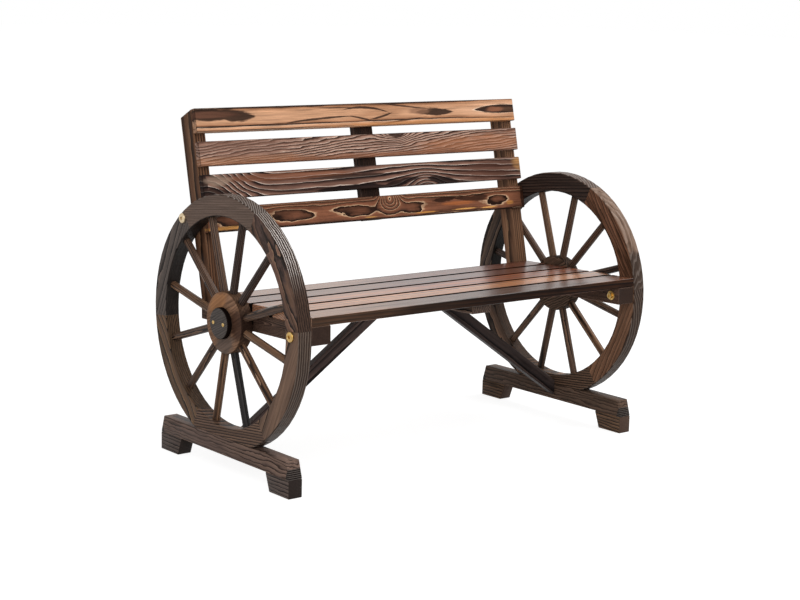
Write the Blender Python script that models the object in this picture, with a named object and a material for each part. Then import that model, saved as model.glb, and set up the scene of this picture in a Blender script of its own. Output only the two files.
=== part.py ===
"""Wagon wheel bench: a slatted seat and back carried between two spoked wooden wheels.

Metres, +Z up. X runs along the seat, -Y is the front, and the origin lies on the
floor under the middle of the bench, level with the wheel centres.
"""
import math

import bmesh
import bpy
from mathutils import Matrix, Vector

for old_object in list(bpy.data.objects):
    bpy.data.objects.remove(old_object, do_unlink=True)

# Driving dimensions
CLEARANCE = 0.0003
EDGE_EASE = 0.0015

SEAT_LENGTH = 0.960
SEAT_HEIGHT = 0.390
SEAT_SLAT_COUNT = 5
SEAT_SLAT_WIDTH = 0.070
SEAT_SLAT_THICKNESS = 0.020
SEAT_SLAT_GAP = 0.005
SEAT_FRONT_Y = -0.277
SEAT_TILT = math.radians(1.2)
SEAT_ABOVE_AXLE = 0.0528

RAIL_WIDTH = 0.050
RAIL_HEIGHT = 0.040
RAIL_END_MARGIN = 0.002
SEAT_BATTEN_WIDTH = 0.055
SEAT_BATTEN_THICKNESS = 0.019
SEAT_BATTEN_SETBACK = 0.010

BACK_TOP_HEIGHT = 0.790
BACK_TILT = math.radians(12.8)
BACK_SLAT_COUNT = 4
BACK_SLAT_WIDTH = 0.0555
BACK_SLAT_PITCH = 0.0745
BACK_SLAT_THICKNESS = 0.015
BACK_BATTEN_WIDTH = 0.055
BACK_BATTEN_THICKNESS = 0.019
POST_WIDTH = 0.032
POST_DEPTH = 0.045
POST_TOP_BEVEL = 0.012

WHEEL_RADIUS = 0.280
RIM_WIDTH = 0.047
RIM_THICKNESS = 0.035
RIM_FLAT_DEPTH = 0.0236
RIM_EDGE_ROUND = 0.0025
FELLOE_COUNT = 6
SPOKES_PER_FELLOE = 2
SPOKE_TO_JOINT_ANGLE = math.radians(12.5)
SPOKE_HUB_DIAMETER = 0.0185
SPOKE_RIM_DIAMETER = 0.0170
SPOKE_SOCKET_DEPTH = 0.018
HUB_DIAMETER = 0.138
HUB_THICKNESS = 0.031
HUB_EDGE_ROUND = 0.0025
HUB_CAP_DIAMETER = 0.070
HUB_CAP_THICKNESS = 0.0139
HUB_CAP_ROUND = 0.004

SILL_LENGTH = 0.506
SILL_END_SLANT = 0.012
FOOT_HEIGHT_SHARE = 0.503
FOOT_BOTTOM_LENGTH = 0.072
FOOT_TOP_LENGTH = 0.087

BRACE_HEIGHT = 0.032
BRACE_THICKNESS = 0.020
BRACE_Y = -0.012
BRACE_TOE_SHARE = 0.65
BRACE_TIP_HEIGHT = 0.006

BOLT_HOLE_DIAMETER = 0.0086
BOLT_EDGE_DISTANCE = 0.016
FRONT_BOLT_INSET = 0.028
REAR_BOLT_INSET = 0.0135
POST_BOLT_SHARE = 0.6

ARC_STEP = math.radians(6.0)
SPOKE_SIDES = 16
HUB_SIDES = 48
CAP_SIDES = 40

# Places worked out from the driving dimensions
SIDES = {"left": -1, "right": 1}
FRAME_HALF = SEAT_LENGTH / 2
RIM_INNER_X = FRAME_HALF + CLEARANCE
WHEEL_X = RIM_INNER_X + RIM_THICKNESS / 2
RIM_INNER_RADIUS = WHEEL_RADIUS - RIM_WIDTH
SPOKE_COUNT = FELLOE_COUNT * SPOKES_PER_FELLOE

# A higher seat lifts the wheels with it, and the sills grow to meet the rims' flats.
RIM_FLAT_DISTANCE = WHEEL_RADIUS - RIM_FLAT_DEPTH
WHEEL_Z = SEAT_HEIGHT - SEAT_ABOVE_AXLE
SILL_TOP = WHEEL_Z - RIM_FLAT_DISTANCE - CLEARANCE
FOOT_HEIGHT = SILL_TOP * FOOT_HEIGHT_SHARE
BRACE_TOE_HEIGHT = SILL_TOP * BRACE_TOE_SHARE

SEAT_SLAT_PITCH = SEAT_SLAT_WIDTH + SEAT_SLAT_GAP
SEAT_DEPTH = SEAT_SLAT_COUNT * SEAT_SLAT_PITCH - SEAT_SLAT_GAP

# The seat has a frame of its own, which dips a little to the rear: its origin is the
# front top edge, local Y runs back along the slats and local Z stands on them.
SLAT_UNDERSIDE = -SEAT_SLAT_THICKNESS
RAIL_TOP = SLAT_UNDERSIDE - CLEARANCE
RAIL_MIDDLE = RAIL_TOP - RAIL_HEIGHT / 2
SEAT_BACKWARD = Vector((math.cos(SEAT_TILT), -math.sin(SEAT_TILT)))
SEAT_UPWARD = Vector((math.sin(SEAT_TILT), math.cos(SEAT_TILT)))


def on_seat(y, z):
    """Return the bench's (y, z) of a place in the seat's frame."""
    return Vector((SEAT_FRONT_Y, SEAT_HEIGHT)) + y * SEAT_BACKWARD + z * SEAT_UPWARD


def reach_to_circle(start, direction, radius):
    """Return how far a line runs from its start until it leaves a circle about the axle."""
    offset = start - Vector((0, WHEEL_Z))
    along = offset.dot(direction)
    return -along + math.sqrt(along ** 2 - offset.length_squared + radius ** 2)


def wheel_angle(place):
    """Return the angle of a (y, z) about the axle, from the top toward the front."""
    return math.atan2(-place.x, place.y - WHEEL_Z)


def rim_point(radius, angle):
    """Return a point of the wheel's plane, with its angle from the top toward the front."""
    return Vector((0, -radius * math.sin(angle), radius * math.cos(angle)))


# The backrest's frame leans: local Z runs up the posts, local Y through them to the
# rear, and its origin is the front edge of the posts' feet.
POST_FOOT_Y = SEAT_DEPTH + CLEARANCE
BACK_FOOT = on_seat(POST_FOOT_Y, RAIL_TOP + CLEARANCE)
POST_FOOT_LEAN = BACK_TILT - SEAT_TILT
POST_UPWARD = Vector((math.sin(BACK_TILT), math.cos(BACK_TILT)))
POST_BACKWARD = Vector((math.cos(BACK_TILT), -math.sin(BACK_TILT)))
SLAT_REAR = -CLEARANCE
SLAT_FRONT = SLAT_REAR - BACK_SLAT_THICKNESS
BACK_TOP = (BACK_TOP_HEIGHT - BACK_FOOT.y + SLAT_FRONT * math.sin(BACK_TILT)) / math.cos(BACK_TILT)
BACK_SLATS_BOTTOM = BACK_TOP - (BACK_SLAT_COUNT - 1) * BACK_SLAT_PITCH - BACK_SLAT_WIDTH

# One bolt on each side holds the rail's front end to the rim, and one holds the post.
FRONT_BOLT_REACH = reach_to_circle(
    on_seat(0, RAIL_MIDDLE), -SEAT_BACKWARD, WHEEL_RADIUS - FRONT_BOLT_INSET)
FRONT_BOLT = on_seat(-FRONT_BOLT_REACH, RAIL_MIDDLE)
POST_BOLT_FOOT = BACK_FOOT + POST_BOLT_SHARE * POST_DEPTH * POST_BACKWARD
REAR_BOLT_REACH = reach_to_circle(POST_BOLT_FOOT, POST_UPWARD, WHEEL_RADIUS - REAR_BOLT_INSET)
REAR_BOLT = POST_BOLT_FOOT + REAR_BOLT_REACH * POST_UPWARD
RAIL_FRONT = min(0, -FRONT_BOLT_REACH - BOLT_EDGE_DISTANCE)
RAIL_REAR = POST_FOOT_Y + POST_DEPTH / math.cos(POST_FOOT_LEAN) + RAIL_END_MARGIN

# A felloe joint lies midway between the bolts, so both pass as far from their nearest joint.
FELLOE_JOINT_ANGLE = (wheel_angle(FRONT_BOLT) + wheel_angle(REAR_BOLT)) / 2
FIRST_SPOKE_ANGLE = FELLOE_JOINT_ANGLE - SPOKE_TO_JOINT_ANGLE


# Materials
def wood(name, colour, roughness):
    """Return a plain oiled wood of one colour."""
    material = bpy.data.materials.new(name)
    material.use_nodes = True
    shader = material.node_tree.nodes["Principled BSDF"]
    shader.inputs["Base Color"].default_value = (*colour, 1.0)
    shader.inputs["Roughness"].default_value = roughness
    shader.inputs["Metallic"].default_value = 0.0
    return material


SLAT_WOOD = wood("slat_wood", (0.26, 0.12, 0.055), 0.42)
FRAME_WOOD = wood("frame_wood", (0.075, 0.042, 0.028), 0.55)
RIM_WOOD = wood("rim_wood", (0.095, 0.060, 0.042), 0.55)
SPOKE_WOOD = wood("spoke_wood", (0.085, 0.042, 0.024), 0.50)
CAP_WOOD = wood("cap_wood", (0.035, 0.030, 0.028), 0.60)


# Building tools
def add_empty(name, location=(0, 0, 0), tilt=0.0, parent=None):
    """Add a frame that carries other objects, turned about X."""
    empty = bpy.data.objects.new(name, None)
    empty.location = location
    empty.rotation_euler = (tilt, 0, 0)
    empty.parent = parent
    bpy.context.collection.objects.link(empty)
    return empty


def add_object(name, mesh, parent, location=(0, 0, 0), turn=(0, 0, 0)):
    """Add one named piece that shows the given mesh."""
    piece = bpy.data.objects.new(name, mesh)
    piece.location = location
    piece.rotation_euler = turn
    piece.parent = parent
    bpy.context.collection.objects.link(piece)
    return piece


def finish_mesh(name, shape, material=None):
    """Turn a bmesh into a mesh with outward faces and smooth rounds."""
    bmesh.ops.recalc_face_normals(shape, faces=shape.faces)
    mesh = bpy.data.meshes.new(name)
    shape.to_mesh(mesh)
    shape.free()
    if material:
        mesh.materials.append(material)
    mesh.shade_smooth()
    mesh.set_sharp_from_angle(angle=math.radians(30))
    return mesh


def board_mesh(name, size, centre, material):
    """Return a straight board, given its size and its centre."""
    shape = bmesh.new()
    bmesh.ops.create_cube(shape, size=1.0)
    bmesh.ops.scale(shape, vec=size, verts=shape.verts)
    bmesh.ops.translate(shape, vec=centre, verts=shape.verts)
    return finish_mesh(name, shape, material)


def extruded_shape(outline, thickness, direction):
    """Return a bmesh of a flat outline, extruded evenly to both sides of its plane."""
    shape = bmesh.new()
    step = Vector(direction) * thickness
    corners = [shape.verts.new(Vector(point) - step / 2) for point in outline]
    face = shape.faces.new(corners)
    grown = bmesh.ops.extrude_face_region(shape, geom=[face])
    moved = [item for item in grown["geom"] if isinstance(item, bmesh.types.BMVert)]
    bmesh.ops.translate(shape, vec=step, verts=moved)
    return shape


def trim(shape, point, outward):
    """Saw a bmesh along a plane and close the cut, keeping what lies behind the plane."""
    geometry = shape.verts[:] + shape.edges[:] + shape.faces[:]
    bmesh.ops.bisect_plane(shape, geom=geometry, plane_co=point, plane_no=outward, clear_outer=True)
    bmesh.ops.holes_fill(shape, edges=[edge for edge in shape.edges if edge.is_boundary])


def turned_shape(sides, radius_start, radius_end, start, end, axis):
    """Return a bmesh of a straight or tapered round bar between two places on an axis."""
    shape = bmesh.new()
    onto_axis = Vector((0, 0, 1)).rotation_difference(Vector(axis)).to_matrix().to_4x4()
    bmesh.ops.create_cone(
        shape, cap_ends=True, segments=sides, radius1=radius_start, radius2=radius_end,
        depth=end - start, matrix=onto_axis @ Matrix.Translation((0, 0, (start + end) / 2)))
    return shape


def ease_edges(piece, width=EDGE_EASE, segments=1):
    """Take the sharpness off a piece's edges."""
    ease = piece.modifiers.new("eased_edges", "BEVEL")
    ease.width = width
    ease.segments = segments
    ease.limit_method = "ANGLE"
    ease.angle_limit = math.radians(30)


def cut_with(piece, cutter):
    """Cut the cutter's shape out of a piece."""
    cut = piece.modifiers.new(cutter.name, "BOOLEAN")
    cut.operation = "DIFFERENCE"
    cut.solver = "EXACT"
    cut.object = cutter


def add_cutter(name, shape, parent):
    """Add a shape that only cuts others."""
    cutter = add_object(name, finish_mesh(name, shape), parent)
    cutter.hide_render = True
    cutter.display_type = "WIRE"
    return cutter


# Wheels
def spoke_angle(index):
    """Return a spoke's angle from the top toward the front."""
    return FIRST_SPOKE_ANGLE + index * math.tau / SPOKE_COUNT


def spoke_shape(grow=0.0):
    """Return a tapered spoke that stands on the wheel's axis, grown evenly for its socket."""
    return turned_shape(
        SPOKE_SIDES, SPOKE_HUB_DIAMETER / 2 + grow, SPOKE_RIM_DIAMETER / 2 + grow,
        HUB_DIAMETER / 2 - SPOKE_SOCKET_DEPTH - grow,
        RIM_INNER_RADIUS + SPOKE_SOCKET_DEPTH + grow, (0, 0, 1))


def socket_shape():
    """Return all the spokes of a wheel as the sockets that hold them."""
    sockets = bmesh.new()
    for index in range(SPOKE_COUNT):
        single = spoke_shape(CLEARANCE)
        bmesh.ops.rotate(single, verts=single.verts, matrix=Matrix.Rotation(spoke_angle(index), 3, "X"))
        part = bpy.data.meshes.new("one_socket")
        single.to_mesh(part)
        single.free()
        sockets.from_mesh(part)
        bpy.data.meshes.remove(part)
    return sockets


def bolt_hole_shape():
    """Return the two bolt lines that pass through both wheels and the seat frame."""
    holes = bmesh.new()
    reach = WHEEL_X + RIM_THICKNESS
    for place in (FRONT_BOLT, REAR_BOLT):
        radius = BOLT_HOLE_DIAMETER / 2
        across = Matrix.Translation((0, place.x, place.y)) @ Matrix.Rotation(math.pi / 2, 4, "Y")
        bmesh.ops.create_cone(
            holes, cap_ends=True, segments=SPOKE_SIDES, radius1=radius, radius2=radius,
            depth=2 * reach, matrix=across)
    return holes


def runs_along_rim(edge):
    """Tell whether an edge follows the rim, neither crossing it nor lying in a joint."""
    run = edge.verts[1].co - edge.verts[0].co
    outward = (edge.verts[0].co + edge.verts[1].co) / 2
    outward.x = 0
    lies_in_face = abs(run.x) < CLEARANCE
    lies_in_joint = abs(run.normalized().dot(outward.normalized())) > math.cos(math.radians(60))
    return lies_in_face and not lies_in_joint


def felloe_mesh(index):
    """Return one curved length of rim, rounded except at its joints.

    The lowest one has a flat that stands on the sill.
    """
    span = math.tau / FELLOE_COUNT
    end_gap = CLEARANCE / 2 / WHEEL_RADIUS
    start = FELLOE_JOINT_ANGLE + index * span + end_gap
    steps = round(span / ARC_STEP)
    angles = [start + step * (span - 2 * end_gap) / steps for step in range(steps + 1)]
    outer = [rim_point(WHEEL_RADIUS, angle) for angle in angles]
    inner = [rim_point(RIM_INNER_RADIUS, angle) for angle in reversed(angles)]
    shape = extruded_shape(outer + inner, RIM_THICKNESS, (1, 0, 0))
    trim(shape, (0, 0, -RIM_FLAT_DISTANCE), (0, 0, -1))
    bmesh.ops.recalc_face_normals(shape, faces=shape.faces)
    bmesh.ops.bevel(
        shape, geom=[edge for edge in shape.edges if runs_along_rim(edge)], offset=RIM_EDGE_ROUND,
        offset_type="OFFSET", affect="EDGES", segments=2, profile=0.5, material=-1)
    return finish_mesh(f"felloe_{index + 1}", shape, RIM_WOOD)


def add_wheels(root, bolt_holes):
    """Add both wheels: felloes, spokes, hub and hub cap."""
    felloes = [felloe_mesh(index) for index in range(FELLOE_COUNT)]
    spoke = finish_mesh("spoke", spoke_shape(), SPOKE_WOOD)
    hub = finish_mesh("hub", turned_shape(
        HUB_SIDES, HUB_DIAMETER / 2, HUB_DIAMETER / 2,
        -HUB_THICKNESS / 2, HUB_THICKNESS / 2, (1, 0, 0)), SPOKE_WOOD)
    cap_start = HUB_THICKNESS / 2 + CLEARANCE
    cap = finish_mesh("hub_cap", turned_shape(
        CAP_SIDES, HUB_CAP_DIAMETER / 2, HUB_CAP_DIAMETER / 2,
        cap_start, cap_start + HUB_CAP_THICKNESS, (1, 0, 0)), CAP_WOOD)
    for side, sign in SIDES.items():
        wheel = add_empty(f"{side}_wheel", (sign * WHEEL_X, 0, WHEEL_Z), parent=root)
        sockets = add_cutter(f"{side}_spoke_sockets", socket_shape(), wheel)
        for index, mesh in enumerate(felloes):
            felloe = add_object(f"{side}_wheel_felloe_{index + 1}", mesh, wheel)
            cut_with(felloe, sockets)
            cut_with(felloe, bolt_holes)
        for index in range(SPOKE_COUNT):
            add_object(f"{side}_wheel_spoke_{index + 1:02}", spoke, wheel, turn=(spoke_angle(index), 0, 0))
        wheel_hub = add_object(f"{side}_wheel_hub", hub, wheel)
        ease_edges(wheel_hub, HUB_EDGE_ROUND, 2)
        cut_with(wheel_hub, sockets)
        facing_out = (0, 0, 0 if sign > 0 else math.pi)
        hub_cap = add_object(f"{side}_hub_cap", cap, wheel, turn=facing_out)
        ease_edges(hub_cap, HUB_CAP_ROUND, 3)


# Ground frame
def sill_mesh():
    """Return a ground sill: a beam with a foot block under each end."""
    half = SILL_LENGTH / 2
    front = [
        (-half + FOOT_TOP_LENGTH, FOOT_HEIGHT),
        (-half + FOOT_BOTTOM_LENGTH, 0),
        (-half, 0),
        (-half, FOOT_HEIGHT),
        (-half + SILL_END_SLANT, SILL_TOP),
    ]
    outline = front + [(-y, z) for y, z in reversed(front)]
    return finish_mesh("sill", extruded_shape(
        [(0, y, z) for y, z in outline], RIM_THICKNESS, (1, 0, 0)), FRAME_WOOD)


def brace_mesh(sign):
    """Return a brace from the sill's inner face up to the seat, with both ends mitred."""
    toe_x = FRAME_HALF
    tip_x = SEAT_BATTEN_WIDTH / 2 + CLEARANCE
    seat_point = on_seat(0, SLAT_UNDERSIDE - CLEARANCE)
    top = seat_point.y + seat_point.x * math.tan(SEAT_TILT)
    tip_z = top - BRACE_TIP_HEIGHT
    slope = math.atan2(tip_z - BRACE_TOE_HEIGHT, toe_x - tip_x)
    toe_top = BRACE_TOE_HEIGHT + BRACE_HEIGHT / math.cos(slope)
    sawn_top = top + BRACE_HEIGHT
    heel_x = toe_x - (sawn_top - toe_top) / math.tan(slope)
    outline = [
        (toe_x, BRACE_TOE_HEIGHT),
        (toe_x, toe_top),
        (heel_x, sawn_top),
        (tip_x, sawn_top),
        (tip_x, tip_z),
    ]
    shape = extruded_shape([(sign * x, BRACE_Y, z) for x, z in outline], BRACE_THICKNESS, (0, 1, 0))
    trim(shape, (0, 0, top), (0, *SEAT_UPWARD))
    return finish_mesh("brace", shape, FRAME_WOOD)


def add_ground_frame(root):
    """Add the sills that the wheels stand on and the braces that rise from them."""
    sill = sill_mesh()
    for side, sign in SIDES.items():
        ease_edges(add_object(f"{side}_sill", sill, root, (sign * WHEEL_X, 0, 0)))
        ease_edges(add_object(f"{side}_brace", brace_mesh(sign), root))


# Seat
def add_seat(root, bolt_holes):
    """Add the seat slats, the rails at their ends and the batten under their middle."""
    seat = add_empty("seat", (0, SEAT_FRONT_Y, SEAT_HEIGHT), -SEAT_TILT, root)
    slat = board_mesh(
        "seat_slat", (SEAT_LENGTH, SEAT_SLAT_WIDTH, SEAT_SLAT_THICKNESS), (0, 0, 0), SLAT_WOOD)
    for index in range(SEAT_SLAT_COUNT):
        place = (0, SEAT_SLAT_WIDTH / 2 + index * SEAT_SLAT_PITCH, -SEAT_SLAT_THICKNESS / 2)
        ease_edges(add_object(f"seat_slat_{index + 1}", slat, seat, place))
    rail = board_mesh("seat_rail", (RAIL_WIDTH, RAIL_REAR - RAIL_FRONT, RAIL_HEIGHT), (0, 0, 0), FRAME_WOOD)
    for side, sign in SIDES.items():
        place = (sign * (FRAME_HALF - RAIL_WIDTH / 2), (RAIL_FRONT + RAIL_REAR) / 2, RAIL_MIDDLE)
        seat_rail = add_object(f"{side}_seat_rail", rail, seat, place)
        ease_edges(seat_rail)
        cut_with(seat_rail, bolt_holes)
    batten = board_mesh(
        "seat_batten", (SEAT_BATTEN_WIDTH, SEAT_DEPTH - 2 * SEAT_BATTEN_SETBACK, SEAT_BATTEN_THICKNESS),
        (0, SEAT_DEPTH / 2, RAIL_TOP - SEAT_BATTEN_THICKNESS / 2), FRAME_WOOD)
    ease_edges(add_object("seat_centre_batten", batten, seat))


# Backrest
def post_mesh():
    """Return a back post, in the leaning frame: its foot lies along the rail, its top slopes back."""
    foot_rise = POST_DEPTH * math.tan(POST_FOOT_LEAN)
    outline = [
        (0, 0),
        (POST_DEPTH, foot_rise),
        (POST_DEPTH, BACK_TOP - POST_TOP_BEVEL),
        (0, BACK_TOP),
    ]
    return finish_mesh("back_post", extruded_shape(
        [(0, y, z) for y, z in outline], POST_WIDTH, (1, 0, 0)), FRAME_WOOD)


def add_backrest(root, bolt_holes):
    """Add the leaning posts, the slats on their front and the batten behind the slats."""
    back = add_empty("backrest", (0, *BACK_FOOT), -BACK_TILT, root)
    post = post_mesh()
    for side, sign in SIDES.items():
        back_post = add_object(f"{side}_back_post", post, back, (sign * (FRAME_HALF - POST_WIDTH / 2), 0, 0))
        ease_edges(back_post)
        cut_with(back_post, bolt_holes)
    slat = board_mesh(
        "back_slat", (SEAT_LENGTH, BACK_SLAT_THICKNESS, BACK_SLAT_WIDTH), (0, 0, 0), SLAT_WOOD)
    for index in range(BACK_SLAT_COUNT):
        z = BACK_TOP - BACK_SLAT_WIDTH / 2 - index * BACK_SLAT_PITCH
        place = (0, (SLAT_FRONT + SLAT_REAR) / 2, z)
        ease_edges(add_object(f"back_slat_{index + 1}", slat, back, place))
    batten = board_mesh(
        "back_batten", (BACK_BATTEN_WIDTH, BACK_BATTEN_THICKNESS, BACK_TOP - BACK_SLATS_BOTTOM),
        (0, BACK_BATTEN_THICKNESS / 2, (BACK_TOP + BACK_SLATS_BOTTOM) / 2), FRAME_WOOD)
    ease_edges(add_object("back_centre_batten", batten, back))


def main():
    """Build the bench."""
    root = add_empty("wagon_wheel_bench")
    bolt_holes = add_cutter("bolt_holes", bolt_hole_shape(), root)
    add_wheels(root, bolt_holes)
    add_ground_frame(root)
    add_seat(root, bolt_holes)
    add_backrest(root, bolt_holes)
    bpy.context.view_layer.update()


main()
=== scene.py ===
# %% [markdown]
# A rustic garden bench hangs between two wooden wagon wheels. Its solids come packed
# from the CAD model, in metres, and this lesson dresses them: it sets the camera and the
# light, paints every board with its own growth rings, and adds the small hardware.

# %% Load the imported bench
import math
from collections import namedtuple

import bmesh
import bpy
from mathutils import Matrix, Vector


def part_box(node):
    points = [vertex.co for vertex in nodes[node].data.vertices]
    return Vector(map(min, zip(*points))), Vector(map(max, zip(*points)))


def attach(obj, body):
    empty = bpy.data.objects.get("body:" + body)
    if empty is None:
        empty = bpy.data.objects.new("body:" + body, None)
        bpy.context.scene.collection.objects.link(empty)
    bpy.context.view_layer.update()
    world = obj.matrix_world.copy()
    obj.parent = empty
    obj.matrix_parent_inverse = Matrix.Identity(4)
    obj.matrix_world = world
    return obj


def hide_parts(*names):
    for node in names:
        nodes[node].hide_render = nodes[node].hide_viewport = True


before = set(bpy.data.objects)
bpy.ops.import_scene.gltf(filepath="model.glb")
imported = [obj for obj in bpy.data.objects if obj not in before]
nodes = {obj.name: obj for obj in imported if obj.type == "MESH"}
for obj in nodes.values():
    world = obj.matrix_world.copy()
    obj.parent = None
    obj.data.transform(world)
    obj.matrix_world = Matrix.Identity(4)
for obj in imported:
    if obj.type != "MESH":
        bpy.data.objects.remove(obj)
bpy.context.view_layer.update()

# %% [markdown]
# The picture is taken from the front left, a little above the seat, with a long lens.
# A camera looks along its own -Z, so three turns place it: the heading about the plumb
# line, the tip of the lens, and a slight roll about its line of sight. A Track To
# constraint would aim it too, but would leave no say over the roll.

# %% Camera
PICTURE_WIDTH = 800
LENS_PIXELS = 1777.0
SENSOR_WIDTH = 36.0
EYE = Vector((-2.6281, -3.1777, 1.0806))
HEADING, TIP, ROLL = (math.radians(angle) for angle in (-39.398, 10.195, 1.423))

camera = bpy.data.objects.new("camera", bpy.data.cameras.new("camera"))
camera.data.sensor_width = SENSOR_WIDTH
camera.data.lens = LENS_PIXELS * SENSOR_WIDTH / PICTURE_WIDTH
camera.matrix_world = (
    Matrix.Translation(EYE) @ Matrix.Rotation(HEADING, 4, "Z")
    @ Matrix.Rotation(math.pi / 2 - TIP, 4, "X") @ Matrix.Rotation(ROLL, 4, "Z"))
bpy.context.scene.collection.objects.link(camera)
bpy.context.scene.camera = camera
bpy.context.scene.view_settings.view_transform = "Standard"
print("camera lens:", round(camera.data.lens, 2), "mm")

# %% [markdown]
# A material is a small network of nodes. Writing each link by hand hides the idea, so a
# socket is wrapped in a class that understands + - * / and adds the Math node for it.

# %% A socket in arithmetic
class Flow:
    """A socket that takes part in Python arithmetic."""

    def __init__(self, finish, socket):
        self.finish, self.socket = finish, socket

    def maths(self, operation, *others):
        return self.finish.node("Math", {"operation": operation}, dict(enumerate((self, *others))))

    def __add__(self, other):
        return self.maths("ADD", other)

    def __sub__(self, other):
        return self.maths("SUBTRACT", other)

    def __rsub__(self, other):
        return self.finish.node("Math", {"operation": "SUBTRACT"}, {0: other, 1: self})

    def __mul__(self, other):
        return self.maths("MULTIPLY", other)

    def __truediv__(self, other):
        return self.maths("DIVIDE", other)

    def __pow__(self, other):
        return self.maths("POWER", other)

    __radd__ = __add__
    __rmul__ = __mul__


print("sockets can now be added, subtracted, multiplied, divided and raised to a power")

# %% [markdown]
# Every other node comes from one method: its type, its settings, and what its sockets get.
# Three jobs come so often that they have methods of their own: mixing two colours, a soft
# step between two limits, and noise whose patches can be stretched along the grain.

# %% The nodes of a finish
SEED_STEP = (7.31, 3.17, 5.73)


class Finish:
    """The node tree of a material or of the world."""

    def __init__(self, owner):
        owner.use_nodes = True
        self.owner, self.tree = owner, owner.node_tree
        self.tree.nodes.clear()

    def node(self, kind, settings=None, sockets=None, give=0):
        """Add a node and return the output that give names, or a list where it names several."""
        added = self.tree.nodes.new("ShaderNode" + kind)
        for key, value in (settings or {}).items():
            if key == "stops":
                while len(added.color_ramp.elements) < len(value):
                    added.color_ramp.elements.new(1.0)
                for stop, (place, colour) in zip(added.color_ramp.elements, value):
                    stop.position, stop.color = place, colour
            else:
                setattr(added, key, value)
        for key, value in (sockets or {}).items():
            if isinstance(value, Flow):
                self.tree.links.new(value.socket, added.inputs[key])
            else:
                added.inputs[key].default_value = value
        if isinstance(give, tuple):
            return [Flow(self, added.outputs[name]) for name in give]
        return Flow(self, added.outputs[give]) if added.outputs else None

    def mix(self, share, first, second, blend="MIX"):
        """Mix two colours, the second by its share."""
        settings = {"data_type": "RGBA", "blend_type": blend}
        return self.node("Mix", settings, {0: share, 6: first, 7: second}, 2)

    def step(self, value, low, high):
        """Rise softly from 0 at the low limit to 1 at the high one."""
        return self.node("MapRange", {"interpolation_type": "SMOOTHSTEP"}, {0: value, 1: low, 2: high})

    def cloud(self, place, size, seed, detail=2.0):
        """Soft noise whose patches have the given size along each axis."""
        spread = self.node("VectorMath", {"operation": "MULTIPLY_ADD"}, {
            0: place, 1: [1 / length for length in size], 2: [seed * part for part in SEED_STEP]})
        return self.node("TexNoise", {}, {"Vector": spread, "Scale": 1.0, "Detail": detail})


def card(code):
    """Return the linear colour of a colour-card code such as 8a5c3c, which is on the sRGB curve."""
    parts = [int(code[i:i + 2], 16) / 255 for i in (0, 2, 4)]
    return (*(v / 12.92 if v <= 0.04045 else ((v + 0.055) / 1.055) ** 2.4 for v in parts), 1.0)


print("mid brown is", [round(v, 3) for v in card("69432f")])

# %% [markdown]
# The bench stands in a white studio. A curved paper sweep could be modelled, but a flat
# sheet that runs out of the picture shows the same. It is pale paper that keeps a soft
# shadow, and camera and mirror rays also meet a white glow on it, so the ground looks
# white without more light falling on the wood.

# %% Floor
WHITE = (1.0, 1.0, 1.0, 1.0)
PAPER_GREY = (0.82, 0.82, 0.82, 1.0)
FLOOR_REACH, FLOOR_DROP = 30.0, 0.0004
FLOOR_GLOW, PAPER_SHARE = 0.86, 0.42
RAYS = ("Is Camera Ray", "Is Glossy Ray", "Is Transmission Ray")

floor_shape = bmesh.new()
bmesh.ops.create_grid(floor_shape, x_segments=1, y_segments=1, size=FLOOR_REACH)
bmesh.ops.translate(floor_shape, vec=(0, 0, -FLOOR_DROP), verts=floor_shape.verts)
floor_mesh = bpy.data.meshes.new("studio_floor")
floor_shape.to_mesh(floor_mesh)
floor_shape.free()
floor = bpy.data.objects.new("studio_floor", floor_mesh)
bpy.context.scene.collection.objects.link(floor)

sheet = Finish(bpy.data.materials.new("studio_floor"))
seen, mirrored, through = sheet.node("LightPath", give=RAYS)
paper = sheet.node("BsdfDiffuse", {}, {"Color": PAPER_GREY})
glow = sheet.node("Emission", {}, {"Color": WHITE, "Strength": FLOOR_GLOW / (1 - PAPER_SHARE)})
lifted = sheet.node("MixShader", {}, {0: seen * (1 - PAPER_SHARE), 1: paper, 2: glow})
white = sheet.node("Emission", {}, {"Color": WHITE, "Strength": 1.0})
in_mirrors = (mirrored + through).maths("MINIMUM", 1.0)
shown = sheet.node("MixShader", {}, {0: in_mirrors, 1: lifted, 2: white})
sheet.node("OutputMaterial", {}, {"Surface": shown})
floor_mesh.materials.append(sheet.owner)
print("floor glow:", FLOOR_GLOW)

# %% [markdown]
# Past the floor lies the world. The camera and the mirrors see it white, like the floor,
# but as a light it is weaker, so that the shadows under the seat keep their depth.

# %% World
SKY = 0.42

world = bpy.data.worlds.new("studio")
bpy.context.scene.world = world
dome = Finish(world)
seen, mirrored, through = dome.node("LightPath", give=RAYS)
backdrop = (seen + mirrored + through).maths("MINIMUM", 1.0)
sky = dome.node("Background", {}, {"Color": WHITE, "Strength": backdrop * (1 - SKY) + SKY})
dome.node("OutputWorld", {}, {"Surface": sky})
print("sky light:", SKY)

# %% [markdown]
# Two soft boxes light the wood. Spot lamps would draw hard shadows, while area lamps two
# metres wide draw soft ones. One hangs above and to the right, where the rims can mirror
# it, and one stands in front on the left.

# %% Lamps
LIT_PLACE = Vector((0, 0, 0.4))
SOFT_BOXES = {"overhead_softbox": (Vector((1.5, -0.9, 3.0)), 2.0, 76),
              "front_softbox": (Vector((-2.4, -3.2, 2.3)), 2.2, 76)}

for name, (place, width, watts) in SOFT_BOXES.items():
    lamp = bpy.data.objects.new(name, bpy.data.lights.new(name, "AREA"))
    lamp.data.size, lamp.data.energy = width, watts
    lamp.location = place
    lamp.rotation_euler = (place - LIT_PLACE).to_track_quat("Z", "Y").to_euler()
    bpy.context.scene.collection.objects.link(lamp)
print("lamps:", *SOFT_BOXES)

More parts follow.
